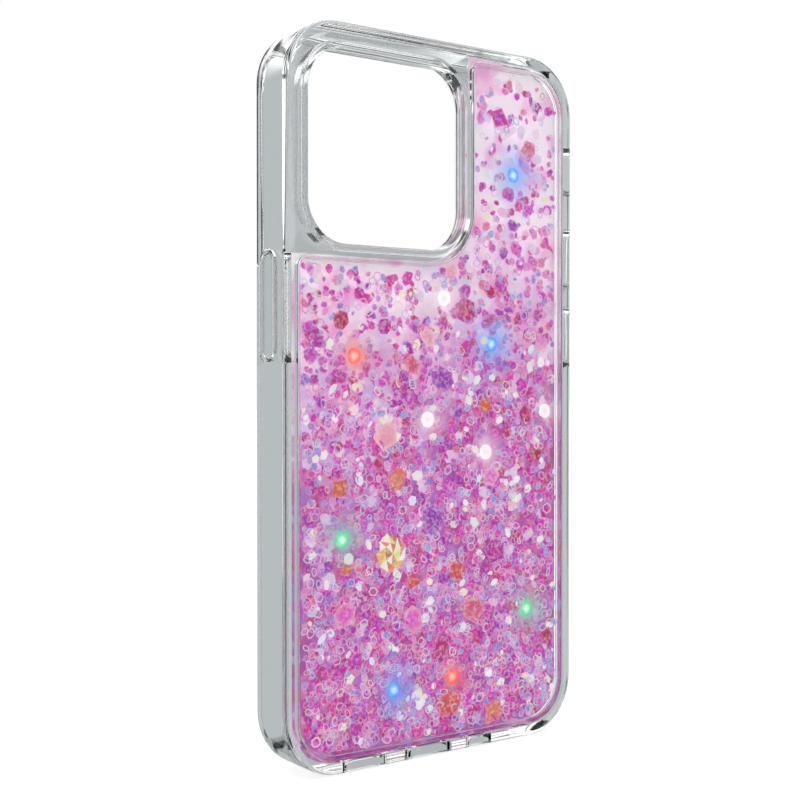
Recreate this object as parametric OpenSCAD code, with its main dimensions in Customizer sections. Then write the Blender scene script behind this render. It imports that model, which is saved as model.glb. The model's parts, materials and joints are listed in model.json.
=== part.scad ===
// Clear bumper case for a handset, with a liquid-glitter back that lights up.
//
// The case stands on its bottom edge. +Z runs up its length, +X is to the right when
// the glitter back is faced, -Y is the glitter back and +Y is the open side that the
// handset snaps into. The origin is the bottom centre of the whole assembly.
// Outlines are drawn in the X-Z plane and given depth along Y by slab().

/* [Bumper] */
// Width across the bumper, without the button covers
case_w = 76; // [75:0.5:78]
// Length of the bumper
case_h = 152; // [151:0.5:156]
// Radius of the bumper's outer corners
corner_r = 12.4; // [11:0.1:14]
// Thickness of the side walls
wall_t = 2.25; // [2:0.05:2.6]
// Rounding of the edge between the side walls and the back face
back_edge_r = 1; // [0.4:0.1:1.6]
// Rounding of the edge between the side walls and the front lip
front_edge_r = 2; // [1:0.1:2.2]
// Reach of the front lip over the edge of the screen
lip_reach = 0.9; // [0.5:0.1:1.5]
// Height of the front lip above the screen
lip_h = 1.5; // [0.8:0.1:2]
// Depth of the pocket that holds the handset
pocket_d = 7.9; // [7.6:0.1:8.6]

/* [Glitter window] */
// Width of the clear rim beside the window
side_rim = 2.6; // [2.5:0.05:4.5]
// Height of the clear rim below the window
bottom_rim = 2.7; // [2.5:0.1:4]
// Height of the clear rim above the window
top_rim = 3.1; // [2.5:0.1:4]
// Radius of the window's outer corners
window_r = 9.5; // [8:0.5:11]
// Radius of the two small corners beside the camera ring
step_r = 2.5; // [1:0.5:4]
// Gap between the window stack and the bumper
window_gap = 0.15; // [0.1:0.05:0.3]
// Clear bridge between the camera ring and the window
ring_bridge = 0.9; // [0.6:0.1:2]
// Depth of the groove in the side wall that the inner layers' flange sits in
groove_d = 0.2; // [0.1:0.05:0.4]

/* [Camera opening] */
// Width of the camera opening
camera_w = 40; // [36:0.5:41]
// Height of the camera opening
camera_h = 39.3; // [36:0.1:41]
// Distance of the opening's centre from the case's centre line
camera_x = 13.4; // [12:0.1:15]
// Height of the opening's centre above the bottom edge
camera_z = 126.85; // [125:0.05:129]
// Radius of the opening's corners
camera_r = 9; // [6:0.5:11]
// Width of the raised ring round the opening
ring_w = 1.6; // [1.2:0.1:2.4]
// Height of the ring above the back face
ring_h = 0.9; // [0.4:0.1:1.6]

/* [Back layers] */
// Thickness of the outer window
window_t = 0.8; // [0.6:0.1:1]
// Depth of the liquid chamber
liquid_t = 1.4; // [1.2:0.1:2]
// Width of the wall that seals the chamber
seal_w = 0.8; // [0.8:0.1:2.5]
// Thickness of the chamber's inner panel
inner_t = 0.4; // [0.3:0.1:0.6]
// Thickness of the white sheet with the openings for the lights
sheet_t = 0.35; // [0.3:0.05:0.5]
// Thickness of the flexible circuit film
film_t = 0.1; // [0.1:0.05:0.2]
// Thickness of the copper tracks
track_t = 0.05; // [0.04:0.01:0.07]
// Thickness of the hard liner behind the handset
liner_t = 0.45; // [0.4:0.05:0.8]

/* [Buttons and ports] */
// Width of the button covers across the side wall
button_w = 5.5; // [4.6:0.1:6]
// Length of the power button cover
power_len = 22.4; // [20:0.1:24]
// Height of the power button above the bottom edge
power_z = 94.6; // [90:0.1:100]
// Length of each volume button cover
volume_len = 14; // [11:0.5:15]
// Height of the volume-up button
volume_up_z = 107.7; // [105:0.1:110]
// Height of the volume-down button
volume_down_z = 89.9; // [85:0.1:91]
// How far a button cover stands out of the side wall
button_proud = 0.35; // [0.2:0.05:0.8]
// Travel of a button cover
button_travel = 0.35; // [0.2:0.05:0.4]
// Length of the opening for the ringer switch
switch_len = 11.3; // [9:0.1:13]
// Height of the ringer switch
switch_z = 128; // [125:0.5:130]
// Length of the charging port opening
port_len = 12.4; // [11:0.1:14]
// Width of the charging port opening
port_w = 6.2; // [5:0.1:6.6]

/* [Glitter] */
// Flakes drawn for each kind of small glitter
flake_count = 34; // [8:1:40]
// Thickness of a flake
flake_t = 0.1; // [0.08:0.01:0.12]

/* [Hidden] */
GLITTER = ["glitter_pink", "glitter_magenta", "glitter_lilac", "glitter_rings", "glitter_cream"];
GLITTER_COLORS = ["#f06fb0", "#d6219c", "#c9a0e8", "#f3e6f5", "#f6efd6"];
GLITTER_SIDES = [6, 6, 6, 6, 5];
// Each light: colour, distance from the centre line, height above the bottom edge
LIGHTS = [
    ["#3f9bf0", 22.4, 125.5], ["#3f9bf0", 16.1, 87.8], ["#3f9bf0", -10.4, 14.8],
    ["#f05a3c", -20.4, 84.8], ["#f05a3c", 5.1, 15.6],
    ["#3fd98a", -23.4, 47.2], ["#3fd98a", 26.4, 28.3],
    ["#fff2ea", 2.9, 97.4], ["#fff2ea", -1.5, 71.4], ["#fff2ea", 14.5, 64], ["#fff2ea", 31.9, 72.8]
];
LIGHT_NAMES = [for (i = [1 : len(LIGHTS)]) str("led_", i)];

// Depth positions, from the ring's crest at the back to the lip at the front
back_stack = window_t + liquid_t + inner_t + sheet_t + 2 * track_t + film_t + liner_t;
total_d = ring_h + back_stack + pocket_d + lip_h;
y_ring = -total_d / 2;
y_back = y_ring + ring_h;
y_liquid = y_back + window_t;
y_inner = y_liquid + liquid_t;
y_sheet = y_inner + inner_t;
y_feed = y_sheet + sheet_t;
y_film = y_feed + track_t;
y_coil = y_film + film_t;
y_liner = y_coil + track_t;
y_pocket = y_liner + liner_t;
y_screen = y_pocket + pocket_d;
y_front = y_screen + lip_h;

// How far a cutting shape runs past the surface that it cuts
cut = 1;

// Outlines
arc_step = 7.5;
back_arc_step = 15;
front_arc_step = 10;
corner_sides = 96;
disc_sides = 48;
smallest_r = 0.3;
pill_flat = 0.01;
overlap = 0.4;
lip_chamfer = 0.3;
ring_bevel = 0.4;
window_half = case_w / 2 - side_rim;
camera_left = -camera_x - camera_w / 2;
camera_bottom = camera_z - camera_h / 2;
arm_left = camera_left + camera_w + ring_w + ring_bridge;
step_z = camera_bottom - ring_w - ring_bridge;
step_inner_r = camera_r + ring_w + ring_bridge;

// Buttons: the window in the wall has a wide outer part and a narrow inner part
button_y = (y_pocket + y_screen) / 2;
button_gap = 0.25;
button_slack = 0.05;
cap_t = 1.1;
ledge_w = 1.2;
rib_inset = 0.3;

// Sound openings in the bottom wall
speaker_x = -16.5;
speaker_len = 11;
microphone_x = 14;
microphone_len = 7;
sound_w = 3.6;

// Circuit
light_r = 1.6;
light_t = sheet_t + track_t;
light_rim = 0.3;
chip_r = 0.6;
chip_rise = 0.1;
light_hole_r = 1.7;
track_w = 0.3;
rail_inset = 0.45;
coil_turns = 6;
coil_pitch = 1.4;
coil_track = 0.7;
coil_w = 54;
coil_h = 74;
coil_z = 52;
part_t = 0.35;
component_gap = 0.3;
plug_r = 1.2;
plug_x = 29;
plug_z = 141;

// Each component on the film's inner side: distance across, height, width, length
CHIP = [-20, 96, 3, 3];
DIODE = [-12, 96, 1.2, 2];
CAPACITOR = [-7, 96, 1.6, 3.2];

// Glitter: steps of 1/p and 1/p^2, where p^3 = p + 1, spread places evenly over a rectangle
flake_r = 0.75;
flake_gap = 0.1;
flake_turn = 31;
shard_r = 2.2;
shard_count = 26;
layer_step = 0.2;
layer_shift = 1 / 7;
plastic_number = 1.32471795724;
spread_x = 1 / plastic_number;
spread_z = 1 / pow(plastic_number, 2);
settle = 1.35;

// ---- outline helpers ----

// The arc at one right-angled corner; each corner is [x, z, radius]
function corner_arc(before, at, after) =
    let (
        here = [at[0], at[1]],
        way_in = (here - [before[0], before[1]]) / norm(here - [before[0], before[1]]),
        way_out = ([after[0], after[1]] - here) / norm([after[0], after[1]] - here),
        centre = here + (way_out - way_in) * at[2]
    )
    [for (t = [0 : arc_step : 90]) centre + (way_in * sin(t) - way_out * cos(t)) * at[2]];

function rounded(corners) =
    let (n = len(corners))
    [for (i = [0 : n - 1]) each corner_arc(corners[(i + n - 1) % n], corners[i], corners[(i + 1) % n])];

function box_corners(x0, z0, x1, z1, r) = [[x0, z0, r], [x1, z0, r], [x1, z1, r], [x0, z1, r]];

// The case's outline, moved in by inset
function case_corners(inset) =
    let (half = case_w / 2 - inset)
    box_corners(-half, inset, half, case_h - inset, corner_r - inset);

// The camera opening, moved out by grow
function camera_corners(grow) =
    box_corners(
        camera_left - grow, camera_bottom - grow,
        camera_left + camera_w + grow, camera_bottom + camera_h + grow,
        camera_r + grow
    );

// The L-shaped window, moved in by inset
function window_corners(inset) = [
    [-window_half + inset, bottom_rim + inset, window_r - inset],
    [window_half - inset, bottom_rim + inset, window_r - inset],
    [window_half - inset, case_h - top_rim - inset, window_r - inset],
    [arm_left + inset, case_h - top_rim - inset, max(step_r - inset, smallest_r)],
    [arm_left + inset, step_z - inset, step_inner_r + inset],
    [-window_half + inset, step_z - inset, max(step_r - inset, smallest_r)]
];

// The L-shaped recess under the rim, out to the groove in the side wall, moved in by inset
function flange_corners(inset) =
    let (
        edge = wall_t - groove_d + inset,
        half = case_w / 2 - edge,
        arm = arm_left - ring_bridge / 2 + inset,
        step = step_z + ring_bridge / 2 - inset,
        r = corner_r - edge
    )
    [
        [-half, edge, r], [half, edge, r], [half, case_h - edge, r],
        [arm, case_h - edge, smallest_r],
        [arm, step, step_inner_r - ring_bridge / 2 + inset],
        [-half, step, smallest_r]
    ];

// Depth along Y, from y0 to y0 + depth, for an outline in the X-Z plane
module slab(y0, depth) {
    translate([0, y0 + depth, 0]) rotate([90, 0, 0]) linear_extrude(depth) children();
}

// A round plate or hole with its axis along Y
module disc(x, z, y0, depth, r) {
    translate([x, y0 + depth, z]) rotate([90, 0, 0]) cylinder(h = depth, r = r, $fn = disc_sides);
}

module window_layer(y0, depth) {
    slab(y0, depth) polygon(rounded(window_corners(window_gap)));
}

// An inner layer, whose flange reaches under the clear rim
module flanged_layer(y0, depth) {
    slab(y0, depth) polygon(rounded(flange_corners(window_gap)));
}

// A pill's outline, round at both ends; half_x and half_z are half its size each way
function pill(half_x, half_z) =
    box_corners(-half_x, -half_z, half_x, half_z, min(half_x, half_z) - pill_flat);

// A long rounded hole or cover in the side wall, from x0 towards +X by depth
module side_pill(x0, depth, z, length, width) {
    translate([x0, button_y, z]) rotate([90, 0, 90]) linear_extrude(depth)
        polygon(rounded(pill(width / 2, length / 2)));
}

// A long rounded hole up through the bottom wall
module bottom_slot(x, length, width) {
    translate([x, button_y, -cut]) linear_extrude(wall_t + 2 * cut)
        polygon(rounded(pill(length / 2, width / 2)));
}

// ---- bumper ----

// Cross-section of the side wall: distance in from the outside, then depth
function wall_section() = concat(
    [for (t = [0 : back_arc_step : 90]) [back_edge_r * (1 - sin(t)), y_back + back_edge_r * (1 - cos(t))]],
    [for (t = [0 : front_arc_step : 90]) [front_edge_r * (1 - cos(t)), y_front - front_edge_r * (1 - sin(t))]],
    [
        [wall_t + lip_reach - lip_chamfer, y_front],
        [wall_t + lip_reach, y_front - lip_chamfer],
        [wall_t + lip_reach, y_screen],
        [wall_t, y_screen],
        [wall_t, y_back]
    ]
);

module long_wall() {
    translate([-case_w / 2, 0, corner_r])
        linear_extrude(case_h - 2 * corner_r) polygon(wall_section());
}

module short_wall() {
    translate([case_w / 2 - corner_r, 0, 0]) rotate([0, -90, 0])
        linear_extrude(case_w - 2 * corner_r) polygon(wall_section());
}

module corner_wall() {
    translate([case_w / 2 - corner_r, 0, corner_r]) rotate([-90, 0, 0])
        rotate_extrude(angle = 90, $fn = corner_sides)
            polygon([for (p = wall_section()) [corner_r - p[0], p[1]]]);
}

module upside_down() {
    translate([0, 0, case_h]) mirror([0, 0, 1]) children();
}

module wall_loop() {
    long_wall();
    mirror([1, 0, 0]) long_wall();
    short_wall();
    upside_down() short_wall();
    for (side = [0, 1]) mirror([side, 0, 0]) {
        corner_wall();
        upside_down() corner_wall();
    }
}

// The window in the side wall that one button cover fills
module button_window(z, length) {
    depth = button_travel + cap_t - button_proud + button_slack;
    side_pill(-case_w / 2 - cut, cut + depth, z, length + 2 * button_gap, button_w + 2 * button_gap);
    side_pill(-case_w / 2, wall_t + cut, z,
        length - ledge_w + 2 * button_gap, button_w - ledge_w + 2 * button_gap);
}

module bumper_frame() {
    color("#e9edef", 0.4) difference() {
        union() {
            wall_loop();
            slab(y_back, y_liner - y_back) polygon(rounded(case_corners(wall_t - overlap)));
        }
        slab(y_ring, total_d) polygon(rounded(window_corners(0)));
        slab(y_inner, y_liner - y_inner) polygon(rounded(flange_corners(0)));
        slab(y_ring, total_d) polygon(rounded(camera_corners(ring_w)));
        button_window(power_z, power_len);
        mirror([1, 0, 0]) button_window(volume_up_z, volume_len);
        mirror([1, 0, 0]) button_window(volume_down_z, volume_len);
        side_pill(case_w / 2 - wall_t - cut, wall_t + 2 * cut, switch_z, switch_len, button_w);
        bottom_slot(0, port_len, port_w);
        bottom_slot(speaker_x, speaker_len, sound_w);
        bottom_slot(microphone_x, microphone_len, sound_w);
    }
}

// The raised collar moulded round the camera opening, with a bevelled crest
module camera_ring() {
    color("#f4f7f8", 0.6) difference() {
        union() {
            slab(y_ring, ring_bevel) polygon(rounded(camera_corners(ring_w - ring_bevel)));
            slab(y_ring + ring_bevel, y_liner - y_ring - ring_bevel)
                polygon(rounded(camera_corners(ring_w)));
        }
        slab(y_ring - cut, total_d) polygon(rounded(camera_corners(0)));
    }
}

// A button cover on the -X side: a pill-shaped cap with a rib that presses the button
module button_cover(z, length) {
    color("#f2f5f6", 0.6) {
        side_pill(-case_w / 2 - button_proud, cap_t, z, length, button_w);
        side_pill(-case_w / 2 - button_proud + cap_t, wall_t - cap_t + button_proud - rib_inset,
            z, length - ledge_w, button_w - ledge_w);
    }
}

module power_button_cover() {
    button_cover(power_z, power_len);
}

module volume_up_cover() {
    mirror([1, 0, 0]) button_cover(volume_up_z, volume_len);
}

module volume_down_cover() {
    mirror([1, 0, 0]) button_cover(volume_down_z, volume_len);
}

// ---- liquid chamber ----

module outer_window() {
    color("#fbe9f4", 0.35) window_layer(y_back, window_t);
}

module chamber_space(y0, depth) {
    slab(y0, depth) polygon(rounded(window_corners(window_gap + seal_w)));
}

module chamber_wall() {
    color("#f6d6ea") difference() {
        window_layer(y_liquid, liquid_t);
        chamber_space(y_liquid - cut, liquid_t + 2 * cut);
    }
}

module plug(y0, depth) {
    disc(plug_x, plug_z, y0, depth, plug_r);
}

module inner_panel() {
    color("#fdf3fa", 0.5) difference() {
        flanged_layer(y_inner, inner_t);
        plug(y_inner - cut, inner_t + 2 * cut);
    }
}

module fill_plug() {
    color("#dddddd") plug(y_inner, inner_t);
}

function fraction(v) = v - floor(v);

// Whether a flake of radius r at [x, z] lies inside the chamber
function in_chamber(x, z, r) =
    let (
        gap = window_gap + seal_w + r,
        past_side = max(abs(x) - window_half + window_r, 0),
        past_bottom = max(bottom_rim + window_r - z, 0),
        past_top = max(z - case_h + top_rim + window_r, 0)
    )
    abs(x) < window_half - gap && z > bottom_rim + gap
    && (z < step_z - gap || (x > arm_left + gap && z < case_h - top_rim - gap))
    && norm([past_side, past_bottom]) < window_r - gap
    && norm([past_side, past_top]) < window_r - gap;

// Places spread evenly across the chamber and thicker towards its bottom
function places(count, shift, r) = [
    for (i = [1 : count])
        let (
            x = (2 * fraction(shift + i * spread_x) - 1) * window_half,
            z = bottom_rim + case_h * pow(fraction(shift + i * spread_z), settle)
        )
        if (in_chamber(x, z, r)) [x, z]
];

module flakes(layer, count, r, sides) {
    for (p = places(count, layer * layer_shift, r))
        translate([p[0], y_liquid + flake_gap + layer * layer_step + flake_t, p[1]])
            rotate([90, flake_turn * p[0], 0]) cylinder(h = flake_t, r = r, $fn = sides);
}

module glitter(kind) {
    color(GLITTER_COLORS[kind]) flakes(kind, flake_count, flake_r, GLITTER_SIDES[kind]);
}

module glitter_shards() {
    color("#f0a24a") flakes(len(GLITTER), shard_count, shard_r, 4);
}

module liquid() {
    color("#ffd9ef", 0.3) difference() {
        chamber_space(y_liquid, liquid_t);
        for (kind = [0 : len(GLITTER) - 1]) glitter(kind);
        glitter_shards();
    }
}

// ---- light circuit ----

// A flat round light on the film, with its chip standing out towards the window
module light(spot) {
    color(spot[0]) difference() {
        disc(spot[1], spot[2], y_film - light_t, light_t, light_r);
        disc(spot[1], spot[2], y_film - light_t - cut, cut + chip_rise, light_r - light_rim);
    }
    color("#fff6e0") disc(spot[1], spot[2], y_film - light_t, chip_rise, chip_r);
}

module light_sheet() {
    color("#fbf4fa") difference() {
        flanged_layer(y_sheet, sheet_t);
        for (spot = LIGHTS) disc(spot[1], spot[2], y_sheet - cut, sheet_t + 2 * cut, light_hole_r);
    }
}

module circuit_film() {
    color("#f3eef2") flanged_layer(y_film, film_t);
}

// A straight copper strip along X or Z, square at its ends
module strip(y0, width, x0, z0, x1, z1) {
    translate([min(x0, x1) - width / 2, y0, min(z0, z1) - width / 2])
        cube([abs(x1 - x0) + width, track_t, abs(z1 - z0) + width]);
}

module track(x0, z0, x1, z1) {
    strip(y_feed, track_w, x0, z0, x1, z1);
}

// Two rails round the window's edge, with a branch from each to every light
module feed_tracks() {
    rail = window_half - window_gap - rail_inset;
    low = bottom_rim + window_r;
    step = step_z - window_gap - rail_inset - step_r;
    arm = arm_left + window_gap + rail_inset + step_r;
    top = case_h - top_rim - window_r;
    left = -rail + step_r;
    color("#c98a4b") difference() {
        union() {
            track(rail, low, rail, top);
            track(left, low, left, step);
            track(left, step, arm, step);
            track(arm, step, arm, top);
            for (spot = LIGHTS) {
                track(spot[1], spot[2], rail, spot[2]);
                track(spot[2] > step ? arm : left, spot[2], spot[1], spot[2]);
            }
        }
        for (spot = LIGHTS) disc(spot[1], spot[2], y_feed - cut, track_t + 2 * cut, light_r);
    }
}

// A flat rectangular spiral on the film's inner side
module antenna_coil() {
    module bar(x0, z0, x1, z1) {
        strip(y_coil, coil_track, x0, z0, x1, z1);
    }
    color("#c98a4b") translate([0, 0, coil_z]) for (turn = [0 : coil_turns - 1]) {
        x = coil_w / 2 - turn * coil_pitch;
        z = coil_h / 2 - turn * coil_pitch;
        bar(-x, z, x, z);
        bar(x, z, x, -z);
        bar(x, -z, -x, -z);
        bar(-x, -z, -x, z - coil_pitch);
        if (turn < coil_turns - 1) bar(-x, z - coil_pitch, -x + coil_pitch, z - coil_pitch);
    }
}

module component(spot, grow) {
    translate([spot[0] - spot[2] / 2 - grow, y_coil, spot[1] - spot[3] / 2 - grow])
        cube([spot[2] + 2 * grow, part_t + grow, spot[3] + 2 * grow]);
}

module flasher_chip() {
    color("#2b2b2e") component(CHIP, 0);
}

module rectifier_diode() {
    color("#2b2b2e") component(DIODE, 0);
}

module storage_capacitor() {
    color("#b08a5a") component(CAPACITOR, 0);
}

// The hard sheet that the handset rests against, with windows for the components
module liner_shell() {
    color("#f2f2f4", 0.5) difference() {
        slab(y_liner, liner_t) polygon(rounded(case_corners(wall_t)));
        slab(y_liner - cut, liner_t + 2 * cut) polygon(rounded(camera_corners(0)));
        for (spot = [CHIP, DIODE, CAPACITOR]) component(spot, component_gap);
    }
}

bumper_frame();
camera_ring();
power_button_cover();
volume_up_cover();
volume_down_cover();
outer_window();
chamber_wall();
liquid();
inner_panel();
fill_plug();
glitter_shards();
for (kind = [0 : len(GLITTER) - 1])
    glitter(kind);
light_sheet();
circuit_film();
feed_tracks();
antenna_coil();
flasher_chip();
rectifier_diode();
storage_capacitor();
liner_shell();
for (i = [0 : len(LIGHTS) - 1])
    light(LIGHTS[i]);
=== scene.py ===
"""Liquid-glitter phone case with small lights behind the glitter.

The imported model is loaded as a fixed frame. Clear plastic parts are copies of their CAD nodes with
rounded edges, and each glitter node is replaced by many loose flakes in the liquid chamber.
Lengths are metres, as in the frame, and MM turns millimetres into metres. X runs across the case,
Z up its length, and -Y faces the glitter back.
"""

import json
import math
import random

import bmesh
import bpy
from mathutils import Matrix, Vector
from mathutils import noise as noise_at


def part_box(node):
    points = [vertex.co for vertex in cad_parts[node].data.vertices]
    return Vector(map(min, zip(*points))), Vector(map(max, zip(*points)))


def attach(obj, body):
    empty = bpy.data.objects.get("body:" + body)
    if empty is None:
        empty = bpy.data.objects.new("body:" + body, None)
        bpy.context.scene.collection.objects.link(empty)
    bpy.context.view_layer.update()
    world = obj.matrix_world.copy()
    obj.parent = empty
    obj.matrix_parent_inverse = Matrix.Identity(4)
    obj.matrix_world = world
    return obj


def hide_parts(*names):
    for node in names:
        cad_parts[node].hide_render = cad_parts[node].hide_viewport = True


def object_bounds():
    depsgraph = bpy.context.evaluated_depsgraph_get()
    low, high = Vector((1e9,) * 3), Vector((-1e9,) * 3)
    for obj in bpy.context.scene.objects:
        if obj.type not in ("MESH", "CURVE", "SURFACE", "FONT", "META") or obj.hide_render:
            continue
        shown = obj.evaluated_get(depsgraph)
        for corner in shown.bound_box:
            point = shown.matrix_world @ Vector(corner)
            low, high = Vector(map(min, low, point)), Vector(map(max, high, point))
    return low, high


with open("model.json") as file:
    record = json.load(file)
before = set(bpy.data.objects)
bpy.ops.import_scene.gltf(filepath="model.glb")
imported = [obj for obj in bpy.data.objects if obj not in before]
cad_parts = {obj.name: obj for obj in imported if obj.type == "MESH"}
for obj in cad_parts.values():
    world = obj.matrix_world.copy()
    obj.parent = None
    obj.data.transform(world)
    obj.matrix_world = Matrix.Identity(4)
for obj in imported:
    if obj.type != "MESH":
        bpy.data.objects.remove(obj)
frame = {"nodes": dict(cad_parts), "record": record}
cad_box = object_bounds()

MM = 0.001

# ---- sizes taken from the frame ----

WINDOW_LO, WINDOW_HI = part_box("outer_window")
RING_LO, RING_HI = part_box("camera_ring")
LIQUID_LO, LIQUID_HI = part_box("liquid")
SEAL_W = LIQUID_LO.x - WINDOW_LO.x
RING_BRIDGE = 1.05 * MM
WINDOW_R = 9.35 * MM
STEP_R = 2.35 * MM
STEP_INNER_R = 11.65 * MM
SMALLEST_R = 0.3 * MM
AIR_GAP = 0.02 * MM
WELD_REACH = 0.002 * MM
ARC_STEPS = 12
EDGE_ANGLE = math.radians(35)
FLAT_ANGLE = math.radians(0.6)
EDGE_SLACK = 0.05 * MM

# ---- camera ----

CAMERA_AZIMUTH = math.radians(36.97)
CAMERA_DISTANCE = 288.5 * MM
CAMERA_HEIGHT = 79.54 * MM
CAMERA_PAN = math.radians(0.93)
CAMERA_TILT = math.radians(0.8)
CAMERA_LENS = 60
CAMERA_SENSOR = 36


def make_camera():
    """Stands level with the middle of the case, to the left of its glitter back."""
    data = bpy.data.cameras.new("camera")
    data.lens = CAMERA_LENS
    data.sensor_width = CAMERA_SENSOR
    data.clip_start = 10 * MM
    data.clip_end = 10
    camera = bpy.data.objects.new("camera", data)
    bpy.context.scene.collection.objects.link(camera)
    bumper_lo, bumper_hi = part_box("bumper_frame")
    camera.location = (
        -math.sin(CAMERA_AZIMUTH) * CAMERA_DISTANCE,
        (bumper_lo.y + bumper_hi.y) / 2 - math.cos(CAMERA_AZIMUTH) * CAMERA_DISTANCE,
        CAMERA_HEIGHT,
    )
    turn = CAMERA_PAN - CAMERA_AZIMUTH
    back = Vector((
        math.sin(turn) * math.cos(CAMERA_TILT),
        -math.cos(turn) * math.cos(CAMERA_TILT),
        math.sin(CAMERA_TILT),
    ))
    camera.rotation_mode = "QUATERNION"
    camera.rotation_quaternion = (-back).to_track_quat("-Z", "Y")
    bpy.context.scene.camera = camera


# ---- node helpers ----

def add(tree, kind, inputs=None, **settings):
    """Adds a node, sets its properties, and links or sets its inputs."""
    made = tree.nodes.new(kind)
    for name, value in settings.items():
        setattr(made, name, value)
    for key, value in (inputs or {}).items():
        plug(tree, made.inputs[key], value)
    return made


def plug(tree, socket, value):
    """Links a socket to a value if that is a socket, and sets it otherwise."""
    if isinstance(value, bpy.types.NodeSocket):
        tree.links.new(value, socket)
    else:
        socket.default_value = value


def calc(tree, operation, *values, clamp=False):
    """One scalar math node."""
    inputs = dict(enumerate(values))
    return add(tree, "ShaderNodeMath", inputs, operation=operation, use_clamp=clamp).outputs[0]


def vector_calc(tree, operation, **inputs):
    """One vector math node; its inputs are a, b and scale."""
    keys = {"a": 0, "b": 1, "scale": "Scale"}
    wanted = {keys[name]: value for name, value in inputs.items()}
    return add(tree, "ShaderNodeVectorMath", wanted, operation=operation).outputs


def rescale(tree, value, old, new):
    """Maps a value from one range to another, and clamps it."""
    return add(tree, "ShaderNodeMapRange", {
        "Value": value, "From Min": old[0], "From Max": old[1], "To Min": new[0], "To Max": new[1],
    }).outputs["Result"]


def linear(code):
    """An sRGB colour written as #rrggbb, as linear RGBA."""
    parts = [int(code[i:i + 2], 16) / 255 for i in (1, 3, 5)]
    return tuple(p / 12.92 if p <= 0.04045 else ((p + 0.055) / 1.055) ** 2.4 for p in parts) + (1.0,)


def ramp(tree, factor, stops):
    """A colour ramp from (position, #rrggbb) stops."""
    made = add(tree, "ShaderNodeValToRGB", {"Fac": factor})
    elements = made.color_ramp.elements
    while len(elements) < len(stops):
        elements.new(0.5)
    for element, (position, code) in zip(elements, stops):
        element.position = position
        element.color = linear(code)
    return made.outputs["Color"]


def mix(tree, factor, a, b, blend="MIX"):
    """One colour mix node."""
    made = add(tree, "ShaderNodeMix", {"Factor": factor}, data_type="RGBA", blend_type=blend)
    for name, value in (("A", a), ("B", b)):
        plug(tree, next(s for s in made.inputs if s.name == name and s.type == "RGBA"), value)
    return next(s for s in made.outputs if s.type == "RGBA")


def place_of(tree):
    """The point on the object, in metres."""
    return add(tree, "ShaderNodeTexCoord").outputs["Object"]


def noise(tree, scale, detail=2.0, output="Fac"):
    """Noise that is fixed to the object; scale is in cells to the metre."""
    return add(tree, "ShaderNodeTexNoise", {
        "Vector": place_of(tree), "Scale": scale, "Detail": detail}).outputs[output]


def material(name):
    """A new material, its node tree and its shader."""
    made = bpy.data.materials.new(name)
    made.use_nodes = True
    return made, made.node_tree, made.node_tree.nodes["Principled BSDF"]


def bump(tree, bsdf, height, strength, distance):
    """Raises the surface by a height pattern."""
    made = add(tree, "ShaderNodeBump", {"Height": height, "Strength": strength, "Distance": distance})
    tree.links.new(made.outputs["Normal"], bsdf.inputs["Normal"])


# ---- studio ----

BACKDROP = "#9b9ea0"
FLAG_SHADE = "#0c0d0e"
FLAG_COUNT = 5
FLAG_START = 0.097
FLAG_HALF = 0.11
FLAG_SOFT = 0.03
STUDIO_STRENGTH = 1.5
FLOOR_REACH = 3.0
FLOOR_GAP = 0.01 * MM
FLOOR_GLOW = 0.72


def make_world():
    """A white studio with a grey backdrop, a dark border overhead and upright dark flags.

    The flags stand evenly round the case. The camera itself sees plain white behind everything.
    """
    world = bpy.data.worlds.new("studio")
    world.use_nodes = True
    bpy.context.scene.world = world
    tree = world.node_tree
    direction = add(tree, "ShaderNodeTexCoord").outputs["Generated"]
    parts = add(tree, "ShaderNodeSeparateXYZ", {0: direction}).outputs
    overhead = ramp(tree, rescale(tree, parts["Z"], (-1, 1), (0, 1)), [
        (0.75, "#ffffff"), (0.78, "#202224"), (0.83, "#202224"), (0.86, "#ffffff")])
    backdrop = rescale(tree, parts["Y"], (-0.05, 0.05), (0, 1))
    below_border = rescale(tree, parts["Z"], (0.27, 0.35), (1, 0))
    grey = calc(tree, "MULTIPLY", backdrop, below_border)
    walls = mix(tree, grey, overhead, linear(BACKDROP))
    around = calc(tree, "ARCTAN2", parts["X"], parts["Y"])
    turn = rescale(tree, around, (-math.pi, math.pi), (FLAG_COUNT, 2 * FLAG_COUNT))
    shifted = calc(tree, "SUBTRACT", turn, FLAG_START * FLAG_COUNT)
    from_flag = calc(tree, "PINGPONG", shifted, 0.5)
    lit = rescale(tree, from_flag, (FLAG_HALF, FLAG_HALF + FLAG_SOFT), (0, 1))
    flags = mix(tree, lit, linear(FLAG_SHADE), (1, 1, 1, 1))
    low = rescale(tree, parts["Z"], (0.45, 0.6), (1, 0))
    shade = mix(tree, 1.0, walls, mix(tree, low, (1, 1, 1, 1), flags), "MULTIPLY")
    studio = tree.nodes["Background"]
    plug(tree, studio.inputs["Color"], shade)
    studio.inputs["Strength"].default_value = STUDIO_STRENGTH
    plain = add(tree, "ShaderNodeBackground", {"Color": (1, 1, 1, 1), "Strength": 1.0})
    seen = add(tree, "ShaderNodeLightPath").outputs["Is Camera Ray"]
    both = add(tree, "ShaderNodeMixShader", {0: seen, 1: studio.outputs[0], 2: plain.outputs[0]})
    plug(tree, tree.nodes["World Output"].inputs["Surface"], both.outputs[0])


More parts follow.
